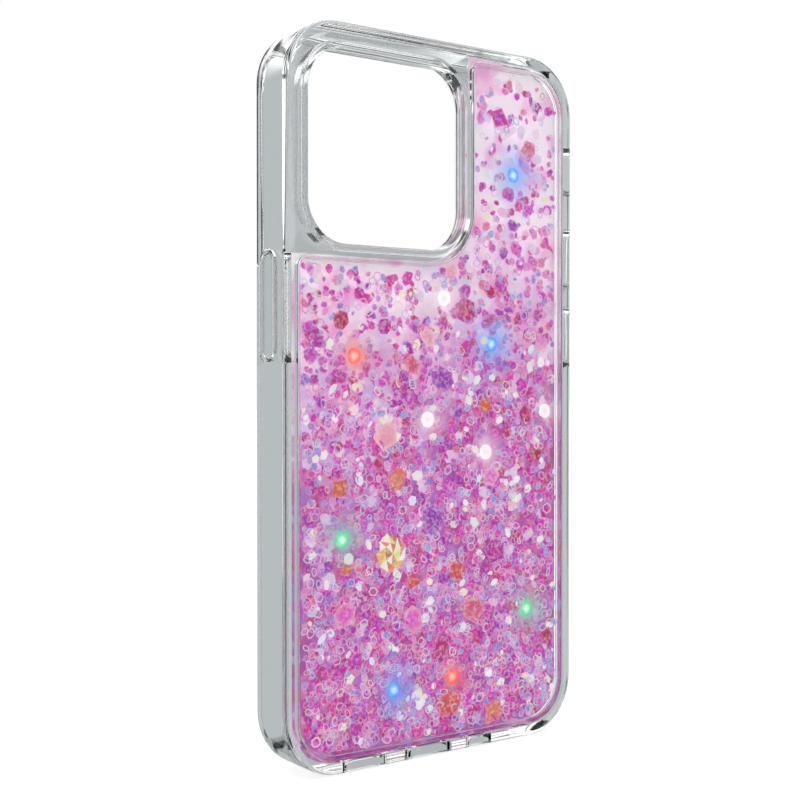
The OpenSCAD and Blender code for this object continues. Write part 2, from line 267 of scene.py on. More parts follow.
def make_floor():
    """A wide white floor just under the case."""
    reach = FLOOR_REACH
    mesh = bpy.data.meshes.new("floor")
    corners = [(-reach, -reach, 0), (reach, -reach, 0), (reach, reach, 0), (-reach, reach, 0)]
    mesh.from_pydata(corners, [], [(0, 1, 2, 3)])
    surface, tree, bsdf = material("floor_white")
    paper = ramp(tree, noise(tree, 3), [(0.3, "#b4b4b4"), (0.7, "#bcbcbc")])
    plug(tree, bsdf.inputs["Base Color"], paper)
    bsdf.inputs["Roughness"].default_value = 1.0
    bsdf.inputs["Specular IOR Level"].default_value = 0.0
    bsdf.inputs["Emission Color"].default_value = (1, 1, 1, 1)
    seen = add(tree, "ShaderNodeLightPath").outputs["Is Camera Ray"]
    plug(tree, bsdf.inputs["Emission Strength"], rescale(tree, seen, (0, 1), (0.0, FLOOR_GLOW)))
    floor = new_object("floor", mesh, surface)
    floor.location.z = cad_box[0].z - FLOOR_GAP
    floor.visible_transmission = False
    floor.visible_glossy = False


# ---- the lights behind the glitter ----

LIGHT_COLOURS = ["blue"] * 3 + ["red"] * 2 + ["green"] * 2 + ["white"] * 4
# Painted light: the colour and the reach of the pool of light painted round each light onto the glitter and
# the bed.
PAINTED_GLOW = {"blue": "#8cc2fb", "red": "#ff9d8c", "green": "#a6e8cf", "white": "#fff1f2"}
PAINTED_GLOW_REACH = {"blue": 4.6 * MM, "red": 3.2 * MM, "green": 4.2 * MM, "white": 3.4 * MM}
LIGHTS = []
for number, colour in enumerate(LIGHT_COLOURS, start=1):
    low_corner, high_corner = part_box(f"led_{number}")
    LIGHTS.append(((low_corner + high_corner) / 2, colour))


def painted_glow_group():
    """Painted light: sums each light's colour, falling off with distance across the panel, to be painted
    into surface colours as pools of light.
    """
    tree = bpy.data.node_groups.new("painted_light_glow", "ShaderNodeTree")
    tree.interface.new_socket("Colour", in_out="OUTPUT", socket_type="NodeSocketColor")
    tree.interface.new_socket("Amount", in_out="OUTPUT", socket_type="NodeSocketFloat")
    flat = vector_calc(tree, "MULTIPLY", a=place_of(tree), b=(1, 0, 1))[0]
    colour, amount = (0, 0, 0), 0.0
    for centre, kind in LIGHTS:
        apart = vector_calc(tree, "DISTANCE", a=flat, b=(centre.x, 0, centre.z))["Value"]
        reach = calc(tree, "DIVIDE", apart, PAINTED_GLOW_REACH[kind])
        fall = calc(tree, "EXPONENT", calc(tree, "MULTIPLY", calc(tree, "POWER", reach, 2.0), -1.0))
        part = vector_calc(tree, "SCALE", a=linear(PAINTED_GLOW[kind])[:3], scale=fall)[0]
        colour = vector_calc(tree, "ADD", a=colour, b=part)[0]
        amount = calc(tree, "ADD", amount, fall)
    out = tree.nodes.new("NodeGroupOutput")
    plug(tree, out.inputs["Colour"], colour)
    plug(tree, out.inputs["Amount"], amount)
    return tree


PAINTED_GLOW_TREE = painted_glow_group()


def painted_backlight(tree, bsdf, colour, share, strength):
    """Paints light into a colour: a painted pool of light tints it towards the lights near it, and a painted
    glow lights the whole surface a little though it is no lamp.
    """
    glow = add(tree, "ShaderNodeGroup", node_tree=PAINTED_GLOW_TREE).outputs
    amount = calc(tree, "MULTIPLY", glow["Amount"], share, clamp=True)
    tint = vector_calc(tree, "SCALE", a=glow["Colour"], scale=share)[0]
    tinted = mix(tree, 1.0, mix(tree, amount, colour, (0, 0, 0, 1)), tint, "ADD")
    plug(tree, bsdf.inputs["Base Color"], tinted)
    plug(tree, bsdf.inputs["Emission Color"], tinted)
    bsdf.inputs["Emission Strength"].default_value = strength


# ---- materials ----

PLASTIC_IOR = 1.49
LAMP_GLOW = 0.6


def clear_plastic(name, colour, roughness, waviness=0.02):
    """Glossy moulded plastic: clear, with a faint waviness and fine wear."""
    made, tree, bsdf = material(name)
    bsdf.inputs["Base Color"].default_value = linear(colour)
    bsdf.inputs["Transmission Weight"].default_value = 1.0
    bsdf.inputs["IOR"].default_value = PLASTIC_IOR
    wear = rescale(tree, noise(tree, 900, 3), (0.45, 0.75), (roughness, roughness * 3))
    plug(tree, bsdf.inputs["Roughness"], wear)
    bump(tree, bsdf, noise(tree, 90, 1), waviness, 1 * MM)
    return made


def thin_clear(name, colour, alpha):
    """A clear layer that hardly bends light: what is behind shows straight through."""
    made, tree, bsdf = material(name)
    plug(tree, bsdf.inputs["Base Color"], ramp(tree, noise(tree, 300), [(0.3, colour), (0.8, "#ffffff")]))
    bsdf.inputs["Alpha"].default_value = alpha
    bsdf.inputs["Roughness"].default_value = 0.15
    return made


GROUND = [(0.3, "#e9ebf8"), (0.42, "#ffffff"), (0.54, "#fffafc"), (0.62, "#fbd2ea"), (0.74, "#f0a6e0")]
BED = [
    (0.0, "#ac1a98"), (0.16, "#cc2eb4"), (0.32, "#b850bc"), (0.46, "#9a84d4"),
    (0.58, "#e6b4de"), (0.7, "#c02a70"), (0.84, "#8e28a4"), (1.0, "#d46cb8"),
]
PALE_FROM, PALE_TO = 108 * MM, 64 * MM
PALE_TILT = 0.3
PALE_RAGGED = 60 * MM


def cells(tree, vector, scale, channel):
    """Irregular cells, each in a colour of the glitter bed."""
    made = add(tree, "ShaderNodeTexVoronoi", {"Vector": vector, "Scale": scale}).outputs["Color"]
    pick = add(tree, "ShaderNodeSeparateColor", {0: made}).outputs[channel]
    return ramp(tree, pick, BED)


def glitter_bed(tree):
    """Soft mottled colour of the fine glitter: deep pink low down, pale and sparse at the top."""
    place = place_of(tree)
    wander = vector_calc(tree, "SUBTRACT", a=noise(tree, 160, output="Color"), b=(0.5, 0.5, 0.5))[0]
    bent = vector_calc(tree, "ADD", a=place, b=vector_calc(tree, "SCALE", a=wander, scale=5 * MM)[0])[0]
    blend = rescale(tree, noise(tree, 240, 3), (0.38, 0.62), (0, 1))
    deep = mix(tree, blend, cells(tree, bent, 230.0, 0), cells(tree, bent, 620.0, 1))
    ground = ramp(tree, noise(tree, 110, 3), GROUND)
    parts = add(tree, "ShaderNodeSeparateXYZ", {0: place}).outputs
    tilted = calc(tree, "SUBTRACT", parts["Z"], calc(tree, "MULTIPLY", parts["X"], PALE_TILT))
    uneven = calc(tree, "MULTIPLY", calc(tree, "SUBTRACT", noise(tree, 60, 3), 0.5), PALE_RAGGED)
    level = rescale(tree, calc(tree, "ADD", tilted, uneven), (PALE_FROM, PALE_TO), (0.1, 0.95))
    return mix(tree, level, ground, deep)


def bed_material(name):
    """The sheet behind the liquid, covered by the finest glitter."""
    made, tree, bsdf = material(name)
    # Painted light: pools of light from the lights and a faint painted glow go into the bed's colour and
    # emission.
    painted_backlight(tree, bsdf, glitter_bed(tree), 0.85, 0.38)
    bsdf.inputs["Roughness"].default_value = 0.5
    bump(tree, bsdf, noise(tree, 1500), 0.2, 0.2 * MM)
    return made


def flake_material(name, alpha, roughness, glow, strength):
    """Foil: the flake's own colour with a fine cloudy painted sheen, tinted by painted light from the lights
    near it, with a faint painted glow over it.
    """
    made, tree, bsdf = material(name)
    own = add(tree, "ShaderNodeAttribute", attribute_name="shade").outputs["Color"]
    # Painted sheen: pale cloudy patches mixed into the flake's colour, fixed on the flake.
    cloud = rescale(tree, noise(tree, 1500, 1), (0.45, 0.75), (0, 0.45))
    painted_backlight(tree, bsdf, mix(tree, cloud, own, linear("#fff4fb")), glow, strength)
    bsdf.inputs["Alpha"].default_value = alpha
    plug(tree, bsdf.inputs["Roughness"], rescale(
        tree, noise(tree, 2500), (0.3, 0.7), (roughness, roughness * 2)))
    return made


def lamp_material(name):
    """A lit diffuser, cloudy, with the colours that its mesh carries."""
    made, tree, bsdf = material(name)
    own = add(tree, "ShaderNodeAttribute", attribute_name="shade").outputs["Color"]
    cloud = rescale(tree, noise(tree, 1200), (0.4, 0.7), (0, 0.15))
    colour = mix(tree, cloud, own, (1, 1, 1, 1))
    plug(tree, bsdf.inputs["Base Color"], colour)
    plug(tree, bsdf.inputs["Emission Color"], colour)
    bsdf.inputs["Emission Strength"].default_value = LAMP_GLOW
    bsdf.inputs["Roughness"].default_value = 0.25
    return made


def copper_material():
    """Etched copper with a patchy patina."""
    made, tree, bsdf = material("copper_track")
    patina = noise(tree, 600, 4)
    plug(tree, bsdf.inputs["Base Color"], ramp(tree, patina, [
        (0.3, "#b8703c"), (0.5, "#d08a52"), (0.65, "#dc9c64"), (0.75, "#a4683a")]))
    bsdf.inputs["Metallic"].default_value = 1.0
    plug(tree, bsdf.inputs["Roughness"], rescale(tree, patina, (0.3, 0.7), (0.22, 0.42)))
    bump(tree, bsdf, noise(tree, 3000), 0.15, 0.05 * MM)
    return made


def film_material():
    """White polyester film with a faint fibre grain."""
    made, tree, bsdf = material("film_white")
    plug(tree, bsdf.inputs["Base Color"], ramp(tree, noise(tree, 700, 4), [
        (0.3, "#e9e4ea"), (0.55, "#f6f3f6"), (0.7, "#efeaf0")]))
    plug(tree, bsdf.inputs["Roughness"], rescale(tree, noise(tree, 350, 3), (0.3, 0.7), (0.28, 0.45)))
    bump(tree, bsdf, noise(tree, 1800, 4), 0.12, 0.05 * MM)
    return made


def chip_material():
    """Matt black moulding compound."""
    made, tree, bsdf = material("chip_black")
    plug(tree, bsdf.inputs["Base Color"], ramp(tree, noise(tree, 4000, 3), [
        (0.35, "#17181a"), (0.6, "#26272a"), (0.72, "#3a3b3e")]))
    plug(tree, bsdf.inputs["Roughness"], rescale(tree, noise(tree, 2500), (0.3, 0.7), (0.45, 0.65)))
    bump(tree, bsdf, noise(tree, 6000, 3), 0.3, 0.03 * MM)
    return made


def capacitor_material():
    """Tan ceramic between two tinned ends."""
    made, tree, bsdf = material("capacitor_tan")
    low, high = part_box("storage_capacitor")
    end = 0.55 * MM
    height = add(tree, "ShaderNodeSeparateXYZ", {0: place_of(tree)}).outputs["Z"]
    from_middle = calc(tree, "ABSOLUTE", calc(tree, "SUBTRACT", height, (low.z + high.z) / 2))
    tinned = calc(tree, "GREATER_THAN", from_middle, (high.z - low.z) / 2 - end)
    ceramic = ramp(tree, noise(tree, 2500, 3), [(0.3, "#9c7348"), (0.6, "#b98d5e")])
    tin = ramp(tree, noise(tree, 3000, 2), [(0.3, "#b9bbbd"), (0.7, "#dcdddd")])
    plug(tree, bsdf.inputs["Base Color"], mix(tree, tinned, ceramic, tin))
    plug(tree, bsdf.inputs["Metallic"], tinned)
    bsdf.inputs["Roughness"].default_value = 0.38
    return made


def rubber_material():
    """Matt off-white rubber."""
    made, tree, bsdf = material("plug_rubber")
    plug(tree, bsdf.inputs["Base Color"], ramp(tree, noise(tree, 2000, 3), [
        (0.3, "#d9d6da"), (0.7, "#f0edf0")]))
    bsdf.inputs["Roughness"].default_value = 0.6
    bump(tree, bsdf, noise(tree, 3500), 0.2, 0.04 * MM)
    return made


# ---- pieces ----

def new_object(name, mesh, surface):
    """Puts a mesh with one material into the scene."""
    made = bpy.data.objects.new(name, mesh)
    bpy.context.scene.collection.objects.link(made)
    made.data.materials.clear()
    made.data.materials.append(surface)
    return made


def body_of_node(node):
    """The body that a CAD node belongs to."""
    bodies = frame["record"]["behaviour"]["bodies"]
    return next(body for body, nodes in bodies.items() if node in nodes)


def stand_for(piece, node):
    """The piece rides on the node's body and hides the node."""
    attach(piece, body_of_node(node))
    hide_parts(node)


def dress(node, surface):
    """Gives a carried-over CAD node its material."""
    target = frame["nodes"][node]
    target.data.materials.clear()
    target.data.materials.append(surface)


def rounded_copy(node, name, surface, width, sharp_from=None, sharp_to=None):
    """A copy of a CAD node with rounded edges, drawn in a little so that no two faces coincide.

    Edges that lie between the depths sharp_from and sharp_to stay sharp.
    """
    mesh = frame["nodes"][node].data.copy()
    mesh.name = name
    work = bmesh.new()
    work.from_mesh(mesh)
    bmesh.ops.remove_doubles(work, verts=work.verts, dist=WELD_REACH)
    hidden = {v for v in work.verts if sharp_from is not None and sharp_from < v.co.y < sharp_to}
    bmesh.ops.dissolve_limit(
        work, angle_limit=FLAT_ANGLE, delimit={"NORMAL"},
        verts=[v for v in work.verts if v not in hidden],
        edges=[e for e in work.edges if not hidden.intersection(e.verts)])
    work.normal_update()
    weights = work.edges.layers.float.new("bevel_weight_edge")
    for edge in work.edges:
        bent = len(edge.link_faces) == 2 and edge.calc_face_angle() > EDGE_ANGLE
        edge[weights] = 1.0 if bent and not all(v in hidden for v in edge.verts) else 0.0
        edge.smooth = not bent
    moves = [v.normal * min(v.calc_shell_factor(), 2.0) * -AIR_GAP for v in work.verts]
    for vertex, move in zip(work.verts, moves):
        vertex.co += move
    for face in work.faces:
        face.smooth = True
    work.to_mesh(mesh)
    work.free()
    piece = new_object(name, mesh, surface)
    bevel = piece.modifiers.new("edges", "BEVEL")
    bevel.width = width
    bevel.segments = 3
    bevel.limit_method = "WEIGHT"
    bevel.harden_normals = True
    bevel.miter_outer = "MITER_ARC"
    stand_for(piece, node)
    return piece


def corner_arc(before, at, after):
    """The arc at one right-angled corner; each corner is (x, z, radius)."""
    here = Vector(at[:2])
    way_in = (here - Vector(before[:2])).normalized()
    way_out = (Vector(after[:2]) - here).normalized()
    centre = here + (way_out - way_in) * at[2]
    angles = [math.radians(90 * i / ARC_STEPS) for i in range(ARC_STEPS + 1)]
    return [centre + (way_in * math.sin(t) - way_out * math.cos(t)) * at[2] for t in angles]


def window_outline(inset):
    """The L-shaped window beside the camera ring, moved in by inset."""
    left, right = WINDOW_LO.x + inset, WINDOW_HI.x - inset
    low, high = WINDOW_LO.z + inset, WINDOW_HI.z - inset
    arm = RING_HI.x + RING_BRIDGE + inset
    step = RING_LO.z - RING_BRIDGE - inset
    outer, small = WINDOW_R - inset, max(STEP_R - inset, SMALLEST_R)
    corners = [
        (left, low, outer), (right, low, outer), (right, high, outer),
        (arm, high, small), (arm, step, STEP_INNER_R + inset), (left, step, small),
    ]
    count = len(corners)
    arcs = [corner_arc(corners[i - 1], corners[i], corners[(i + 1) % count]) for i in range(count)]
    return [point for arc in arcs for point in arc]


def contains(outline, x, z):
    """Whether a point is inside a closed outline, by counting crossings."""
    inside = False
    for a, b in zip(outline, outline[1:] + outline[:1]):
        if (a.y > z) != (b.y > z) and x < a.x + (z - a.y) / (b.y - a.y) * (b.x - a.x):
            inside = not inside
    return inside


class Pile:
    """Closed shapes gathered into one mesh, with a colour at every corner."""

    def __init__(self):
        self.points = []
        self.faces = []
        self.shades = []

    def skin(self, loops, shades, ring=False):
        """Joins loops of points, each with its own shade, into a solid or into a ring."""
        start = len(self.points)
        count = len(loops[0])
        for loop, shade in zip(loops, shades):
            self.points.extend(loop)
            self.shades.extend([shade] * count)
        steps = range(len(loops)) if ring else range(len(loops) - 1)
        for i in steps:
            a = start + i * count
            b = start + (i + 1) % len(loops) * count
            for j in range(count):
                k = (j + 1) % count
                self.faces.append((a + j, a + k, b + k, b + j))
        if not ring:
            last = start + (len(loops) - 1) * count
            self.faces.append(tuple(range(start + count - 1, start - 1, -1)))
            self.faces.append(tuple(range(last, last + count)))

    def build(self, name, surface, smooth=False):
        mesh = bpy.data.meshes.new(name)
        mesh.from_pydata(self.points, [], self.faces)
        layer = mesh.color_attributes.new("shade", "FLOAT_COLOR", "POINT")
        layer.data.foreach_set("color", [part for shade in self.shades for part in shade])
        mesh.polygons.foreach_set("use_smooth", [smooth] * len(mesh.polygons))
        work = bmesh.new()
        work.from_mesh(mesh)
        bmesh.ops.recalc_face_normals(work, faces=work.faces)
        work.to_mesh(mesh)
        work.free()
        return new_object(name, mesh, surface)


# ---- glitter ----

def blend_shade(a, b, share):
    """A colour between two others."""
    return tuple(p + (q - p) * share for p, q in zip(a, b))


def tumbled(at, spin, tilt, lean):
    """A flake's own axes: U and V across it, W towards the window, before it tumbles."""
    base = Matrix(((1, 0, 0), (0, 0, -1), (0, 1, 0)))
    turn = Matrix.Rotation(lean, 3, "X") @ Matrix.Rotation(tilt, 3, "Y") @ Matrix.Rotation(spin, 3, "Z")
    return at, base @ turn


def loop_at(axes, outline, scale, height):
    """An outline scaled and raised along a flake's own axes."""
    at, turn = axes
    return [at + turn @ Vector((u * scale, v * scale, height)) for u, v in outline]


def polygon_outline(radius, sides, stretch, rng, wobble=0.0):
    """A polygon with corners pushed in and out at random."""
    points = []
    for i in range(sides):
        angle = 2 * math.pi * i / sides
        reach = radius * (1 + rng.uniform(-wobble, wobble))
        points.append((reach * math.cos(angle), reach * math.sin(angle) * stretch))
    return points


def foil_flake(pile, axes, outline, thick, core, rim):
    """A flat flake with a pale raised rim."""
    loops = [
        loop_at(axes, outline, 0.94, -thick / 2), loop_at(axes, outline, 1.0, 0),
        loop_at(axes, outline, 0.9, thick / 2), loop_at(axes, outline, 0.8, thick / 2),
        loop_at(axes, outline, 0.7, thick / 4),
    ]
    pile.skin(loops, [rim, rim, rim, blend_shade(core, rim, 0.5), core])


def ring_flake(pile, axes, outline, thick, width, rim):
    """A flake with a hole through it."""
    inner = 1 - width
    loops = [
        loop_at(axes, outline, 1.0, 0), loop_at(axes, outline, 0.96, thick / 2),
        loop_at(axes, outline, inner + 0.04, thick / 2), loop_at(axes, outline, inner, 0),
        loop_at(axes, outline, inner + 0.04, -thick / 2), loop_at(axes, outline, 0.96, -thick / 2),
    ]
    pile.skin(loops, [rim] * len(loops), ring=True)


def cut_flake(pile, axes, outline, thick, core, rim, rng):
    """A thick bright flake with a crumpled, faceted top."""
    at, turn = axes
    top = [(u * 0.55, v * 0.55, thick * rng.uniform(0.3, 0.8)) for u, v in outline]
    crown = [at + turn @ Vector(point) for point in top]
    loops = [loop_at(axes, outline, 0.9, -thick / 2), loop_at(axes, outline, 1.0, 0), crown]
    pile.skin(loops, [rim, rim, core])


PINKS = ["#e35fc6", "#ec93d8", "#de46b8", "#efb0e0", "#e8709f", "#d657bc", "#d873d6"]
MAGENTAS = ["#d416b8", "#e22cc8", "#bc1cb4", "#e630b0", "#cc2070", "#cc1aa6", "#ac2cc0", "#d83cd0"]
LILACS = ["#a873dc", "#be8ee8", "#8c9ce4", "#c6a8ec", "#9cc0ee", "#b87ada", "#a8a6d8"]
PALES = ["#fbeef8", "#f6dcf3", "#e8e2fb", "#fff6ee", "#f2e8f6", "#f9d5ee"]
RINGS = PALES + ["#e6c8f4", "#d4d8f8", "#f2b0de", "#eec4e8", "#c8b4ec", "#f4c8d4", "#d8f0f0", "#e89ad4"]
CREAMS = ["#fbf7e2", "#f1fbe9", "#e0f7ea", "#ffffff", "#f7f0c8", "#e8f2fb", "#fdfdf6"]

PATCH_W = 9 * MM
PATCH_SEED = 3.0
PATCH_FINER = 2.3
PATCH_OFFSET = 7
PATCH_BROAD = 1.1
PATCH_FINE = 0.5
GLITTER_SEED = 11
SPARSE_FROM = 0.45
FOIL_T = 0.08 * MM
RING_T = 0.1 * MM
CUT_T = 0.22 * MM
FOIL_SIDES = [5, 6, 6, 7]
RING_SIDES = [6, 6, 8]
CUT_SIDES = [5, 6, 7]
FLAKE_COVER = 0.8
LIGHT_CLEAR = 1.7 * MM
LIGHT_SHIFT = 0.7 * MM
GEM_SHARES = (0.33, 0.28)
GEM_AT = (
    WINDOW_LO.x + GEM_SHARES[0] * (WINDOW_HI.x - WINDOW_LO.x),
    WINDOW_LO.z + GEM_SHARES[1] * (WINDOW_HI.z - WINDOW_LO.z))
GEM_R = 3.8 * MM
GEM_T = 0.9 * MM
GEM_STRETCH = 1.15
GEM_SIDES = 9
GEM_FACET = 0.97
# Facet colours of the gem: its own amber and yellow, with white as painted highlights and dark brown as
# painted shade.
GEM_TONES_AND_HIGHLIGHTS = [
    "#d8924a", "#ecc860", "#fdf6c8", "#eca070", "#fffff4", "#f4e88c", "#c8864e", "#e8f0a0", "#ffffff",
]


def covers_feature(x, z, radius):
    """Whether a flake would lie over a light or over the gem."""
    over_light = any(
        math.hypot(x + LIGHT_SHIFT - centre.x, z - centre.z) < LIGHT_CLEAR + radius * FLAKE_COVER
        for centre, kind in LIGHTS)
    return over_light or math.hypot(x - GEM_AT[0], z - GEM_AT[1]) < GEM_R


def patch(x, z, seed):
    """A smooth value from 0 to 1 over the window, in patches a few millimetres across."""
    broad = noise_at.noise(Vector((x / PATCH_W, z / PATCH_W, seed)))
    finer_x = x / PATCH_W * PATCH_FINER
    finer_z = z / PATCH_W * PATCH_FINER
    fine = noise_at.noise(Vector((finer_x, finer_z, seed + PATCH_OFFSET)))
    return min(1.0, max(0.0, 0.5 + PATCH_BROAD * broad + PATCH_FINE * fine))


class Scatter:
    """Seeded places in the chamber, thicker towards its bottom."""

    def __init__(self, seed):
        self.rng = random.Random(seed)
        self.outlines = {}

    def fits(self, x, z, radius):
        step = 0.1 * MM
        size = math.ceil(radius / step)
        if size not in self.outlines:
            self.outlines[size] = window_outline(SEAL_W + size * step)
        return contains(self.outlines[size], x, z) and not covers_feature(x, z, radius)

    def spot(self, radius, settle, thin, clump):
        """One place: settle draws flakes down, and thin is the share kept at the very top.

        Clump runs from -1, kept out of the patches, through 0 to 1, kept to the patches.
        """
        while True:
            x = self.rng.uniform(WINDOW_LO.x, WINDOW_HI.x)
            share = self.rng.random() ** settle
            z = WINDOW_LO.z + (WINDOW_HI.z - WINDOW_LO.z) * share
            kept = 1 - (1 - thin) * max(0.0, (share - SPARSE_FROM) / (1 - SPARSE_FROM))
            level = patch(x, z, PATCH_SEED)
            kept *= 1 - abs(clump) * (level if clump < 0 else 1 - level)
            if self.rng.random() < kept and self.fits(x, z, radius):
                return x, z

    def axes(self, x, z, depth, lean):
        """Axes at a depth share, 0 at the window and 1 at the inner panel."""
        rng = self.rng
        y = LIQUID_LO.y + (LIQUID_HI.y - LIQUID_LO.y) * depth
        spin, tilt, tip = rng.uniform(0, math.tau), rng.uniform(-lean, lean), rng.uniform(-lean, lean)
        return tumbled(Vector((x, y, z)), spin, tilt, tip)


def foil_pile(scatter, pile, count, sizes, colours, rims, depths, settle, thin, clump, lean=0.3):
    rng = scatter.rng
    for i in range(count):
        radius = rng.uniform(*sizes) * MM
        x, z = scatter.spot(radius, settle, thin, clump)
        axes = scatter.axes(x, z, rng.uniform(*depths), lean)
        outline = polygon_outline(radius, rng.choice(FOIL_SIDES), rng.uniform(0.65, 1.0), rng, 0.12)
        core = linear(rng.choice(colours))
        rim = blend_shade(core, linear(rng.choice(rims)), rng.uniform(0.35, 0.85))
        foil_flake(pile, axes, outline, FOIL_T, core, rim)


def hides_shard(scatter, shards, x, z):
    """Whether a flake at this place is left out so that the large shard behind it shows."""
    over = any(math.hypot(x - a, z - b) < reach * SHARD_CLEAR for a, b, reach in shards)
    return over and scatter.rng.random() < SHARD_BARE


def ring_pile(scatter, pile, shards, count, sizes, colours, depths, settle, thin, clump, lean=0.35):
    rng = scatter.rng
    for i in range(count):
        radius = rng.uniform(*sizes) * MM
        x, z = scatter.spot(radius, settle, thin, clump)
        if hides_shard(scatter, shards, x, z):
            continue
        axes = scatter.axes(x, z, rng.uniform(*depths), lean)
        outline = polygon_outline(radius, rng.choice(RING_SIDES), rng.uniform(0.65, 1.0), rng, 0.08)
        ring_flake(pile, axes, outline, RING_T, rng.uniform(0.2, 0.34), linear(rng.choice(colours)))


def cut_pile(scatter, pile, shards, count, sizes, colours, depths, settle, thin, clump, lean=0.4):
    rng = scatter.rng
    for i in range(count):
        radius = rng.uniform(*sizes) * MM
        x, z = scatter.spot(radius, settle, thin, clump)
        if hides_shard(scatter, shards, x, z):
            continue
        axes = scatter.axes(x, z, rng.uniform(*depths), lean)
        outline = polygon_outline(radius, rng.choice(CUT_SIDES), rng.uniform(0.7, 1.0), rng, 0.15)
        core = linear(rng.choice(colours))
        rim = blend_shade(core, linear(rng.choice(PALES)), 0.6)
        cut_flake(pile, axes, outline, CUT_T, core, rim, rng)


def finish_pile(pile, kind, look):
    """Builds a pile that stands for one kind of glitter in the CAD."""
    # look holds alpha, roughness, and the share and strength of the painted light and painted glow.
    stand_for(pile.build(kind + "_flakes", flake_material(kind, *look)), kind)


def make_glitter(shards):
    """Foil lies deepest, then lilac foil, then rings, and the bright cut flakes lie at the window."""
    scatter = Scatter(GLITTER_SEED)
    pile = Pile()
    foil_pile(
        scatter, pile, count=380, sizes=(0.9, 1.8), colours=PALES + PINKS[:2], rims=PALES,
        depths=(0.5, 0.95), settle=0.62, thin=0.7, clump=-0.6)
    foil_pile(
        scatter, pile, count=1150, sizes=(0.6, 1.35), colours=PINKS, rims=PALES,
        depths=(0.25, 0.9), settle=1.2, thin=0.35, clump=-0.4)
    finish_pile(pile, "glitter_pink", (0.75, 0.3, 0.6, 0.24))
    pile = Pile()
    foil_pile(
        scatter, pile, count=1500, sizes=(0.6, 1.7), colours=MAGENTAS, rims=PINKS,
        depths=(0.3, 0.95), settle=1.45, thin=0.1, clump=0.85)
    finish_pile(pile, "glitter_magenta", (0.85, 0.3, 0.6, 0.26))
    pile = Pile()
    foil_pile(
        scatter, pile, count=850, sizes=(0.5, 1.1), colours=LILACS, rims=PALES,
        depths=(0.15, 0.8), settle=1.5, thin=0.15, clump=-0.5)
    finish_pile(pile, "glitter_lilac", (0.7, 0.25, 0.7, 0.22))
    pile = Pile()
    ring_pile(
        scatter, pile, shards, count=1500, sizes=(0.65, 1.25), colours=RINGS,
        depths=(0.08, 0.5), settle=1.45, thin=0.16, clump=-0.55)
    finish_pile(pile, "glitter_rings", (0.85, 0.2, 0.5, 0.2))
    pile = Pile()
    cut_pile(
        scatter, pile, shards, count=170, sizes=(0.5, 1.4), colours=CREAMS,
        depths=(0.2, 0.35), settle=1.2, thin=0.1, clump=-0.95)
    finish_pile(pile, "glitter_cream", (1.0, 0.2, 0.45, 0.35))


# Large shards: the colours of the raised middle and of the rim
SHARD_SHADES = [
    ("#d21ea8", "#b04fc0"), ("#c62fc0", "#dd4a92"), ("#e85fce", "#f2a0c8"), ("#c8149c", "#b820ac"),
    ("#dc5a84", "#e87fa0"), ("#f2a6bc", "#f7c4cc"), ("#e0564a", "#d94a80"), ("#b81850", "#d23f86"),
    ("#e0703a", "#d9605a"), ("#c81c70", "#c024a0"), ("#a030b8", "#c05cc8"), ("#e58a58", "#e8708a"),
]
SHARD_COUNT = 34
SHARD_CLEAR = 0.85
SHARD_BARE = 0.8
SHARD_SEED = 5
SHARD_SIZES = (1.8, 3.8)
SHARD_GAP = 1.5 * MM
SHARD_DEPTHS = (0.2, 0.32)
SHARD_T = 0.1 * MM
SHARD_LEAN = 0.06
SHARD_SIDES = [4, 5, 5, 6]


def make_shards():
    """Large thin shards with a raised middle, apart from each other, and one thick faceted gem."""
    scatter = Scatter(SHARD_SEED)
    rng = scatter.rng
    pile = Pile()
    placed = []
    while len(placed) < SHARD_COUNT:
        radius = rng.uniform(*SHARD_SIZES) * MM
        x, z = scatter.spot(radius, settle=1.0, thin=0.9, clump=0.0)
        if any(math.hypot(x - a, z - b) < radius + reach + SHARD_GAP for a, b, reach in placed):
            continue
        placed.append((x, z, radius))
        axes = scatter.axes(x, z, rng.uniform(*SHARD_DEPTHS), SHARD_LEAN)
        outline = polygon_outline(radius, rng.choice(SHARD_SIDES), rng.uniform(0.7, 1.0), rng, 0.1)
        core, rim = [linear(code) for code in SHARD_SHADES[len(placed) % len(SHARD_SHADES)]]
        loops = [
            loop_at(axes, outline, 0.97, -SHARD_T / 2), loop_at(axes, outline, 1.0, 0),
            loop_at(axes, outline, 0.93, SHARD_T / 2), loop_at(axes, outline, 0.5, SHARD_T),
        ]
        pile.skin(loops, [rim, blend_shade(rim, linear("#ffe6f6"), 0.5), rim, core])
    make_gem(pile, rng)
    finish_pile(pile, "glitter_shards", (0.95, 0.25, 0.5, 0.3))
    return placed


